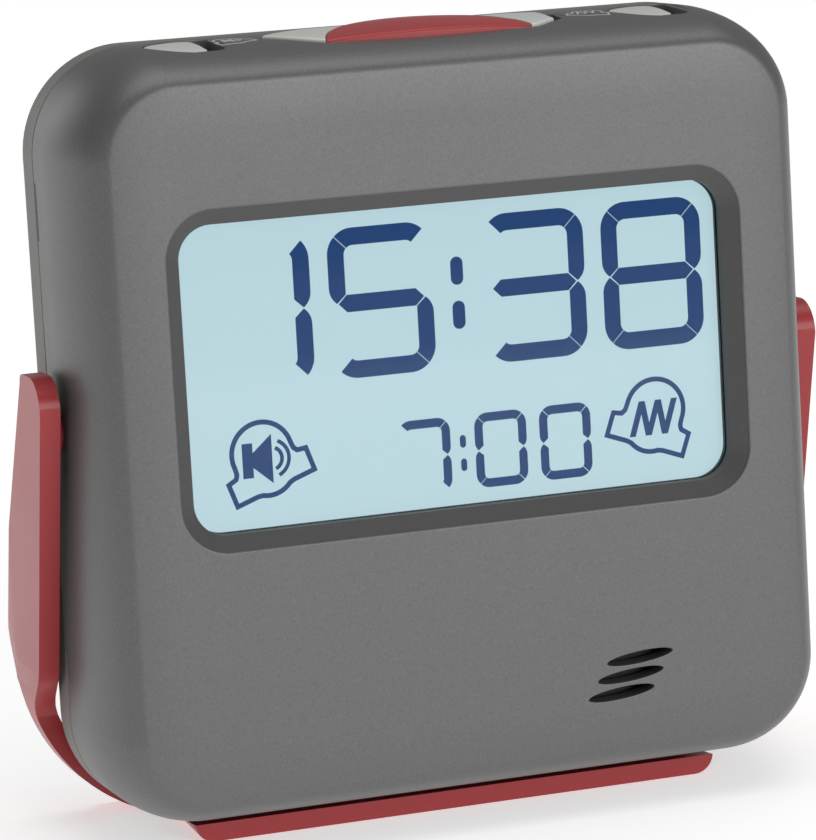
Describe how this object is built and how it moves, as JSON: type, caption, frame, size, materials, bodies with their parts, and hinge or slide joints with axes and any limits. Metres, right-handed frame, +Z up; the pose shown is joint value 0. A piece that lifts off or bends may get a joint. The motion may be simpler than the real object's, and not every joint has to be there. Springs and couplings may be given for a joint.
{
  "type": "alarm clock",
  "caption": "Leaning square travel alarm clock with a liquid crystal display, a snooze bar and sliders on top, rear keys and a swinging stirrup stand.",
  "frame": {"origin": "middle of the bounding box in X and Y, on the plane that the foot stands on", "axes": "+X to the right seen from the front, +Y to the back, +Z up; the case leans back 6 degrees"},
  "size_m": [0.0914, 0.0329, 0.0878],
  "materials": {
    "case_grey": "metallic grey lacquer, satin",
    "rear_grey": "satin grey moulding",
    "window_clear": "clear acrylic",
    "frame_black": "matt black",
    "lcd_face": "pale blue reflective liquid crystal glass with dark blue segments",
    "light_guide": "milky light guide",
    "zebra_rubber": "striped silicone",
    "board_green": "solder mask",
    "epoxy_black": "moulded black",
    "plated_steel": "nickel plated",
    "black_rubber": "soft black",
    "red_wire": "insulated wire",
    "blue_wire": "insulated wire",
    "weight_brass": "machined",
    "cell_can": "printed steel can",
    "screw_steel": "zinc plated",
    "stand_red": "satin red moulding",
    "control_white": "off-white moulding",
    "cap_red": "satin red moulding"
  },
  "bodies": {
    "case": {"front_shell": "case_grey", "rear_shell": "rear_grey", "display_window": "window_clear", "lcd_frame": "frame_black", "lcd_panel": "lcd_face", "backlight_panel": "light_guide", "zebra_strip": "zebra_rubber", "main_board": "board_green", "controller_chip": "epoxy_black", "quartz_crystal": "plated_steel", "slide_switches": "plated_steel", "tact_switches": "epoxy_black", "speaker": "epoxy_black", "speaker_gasket": "black_rubber", "speaker_leads": "red_wire", "vibration_motor": "plated_steel", "motor_boot": "black_rubber", "motor_leads": "blue_wire", "battery_cells": "cell_can", "spring_contacts": "plated_steel", "plate_contacts": "plated_steel", "battery_leads": "red_wire", "case_screws": "screw_steel", "board_screws": "screw_steel"},
    "stand": {"stand": "stand_red"},
    "snooze_bar": {"snooze_base": "control_white", "snooze_cap": "cap_red"},
    "sound_slider": {"slider_left": "control_white"},
    "vibration_slider": {"slider_right": "control_white"},
    "key_set": {"key_set": "control_white"},
    "key_alarm": {"key_alarm": "control_white"},
    "key_down": {"key_down": "control_white"},
    "key_up": {"key_up": "control_white"},
    "battery_door": {"battery_door": "rear_grey"},
    "motor_rotor": {"motor_shaft": "plated_steel", "eccentric_weight": "weight_brass"}
  },
  "joints": [
    {"name": "stand_hinge", "type": "hinge", "parent": "case", "child": "stand", "pos_m": [0, 0.0008, 0.04606], "axis": [1, 0, 0], "range_deg": [0, 75]},
    {"name": "snooze_press", "type": "slide", "parent": "case", "child": "snooze_bar", "axis": [0, -0.1045, -0.9945], "range_m": [0, 0.0008], "stiffness_N_per_m": 2000},
    {"name": "sound_slide", "type": "slide", "parent": "case", "child": "sound_slider", "axis": [1, 0, 0], "range_m": [0, 0.0018]},
    {"name": "vibration_slide", "type": "slide", "parent": "case", "child": "vibration_slider", "axis": [1, 0, 0], "range_m": [0, 0.0018]},
    {"name": "key_set_press", "type": "slide", "parent": "case", "child": "key_set", "axis": [0, -0.9945, 0.1045], "range_m": [0, 0.0006], "stiffness_N_per_m": 1500},
    {"name": "key_alarm_press", "type": "slide", "parent": "case", "child": "key_alarm", "axis": [0, -0.9945, 0.1045], "range_m": [0, 0.0006], "stiffness_N_per_m": 1500},
    {"name": "key_down_press", "type": "slide", "parent": "case", "child": "key_down", "axis": [0, -0.9945, 0.1045], "range_m": [0, 0.0006], "stiffness_N_per_m": 1500},
    {"name": "key_up_press", "type": "slide", "parent": "case", "child": "key_up", "axis": [0, -0.9945, 0.1045], "range_m": [0, 0.0006], "stiffness_N_per_m": 1500},
    {"name": "battery_door_pull", "type": "slide", "parent": "case", "child": "battery_door", "axis": [0, 0.9945, -0.1045], "range_m": [0, 0.012]},
    {"name": "motor_spin", "type": "hinge", "parent": "case", "child": "motor_rotor", "pos_m": [-0.012, -0.00499, 0.01198], "axis": [1, 0, 0], "continuous": true}
  ]
}
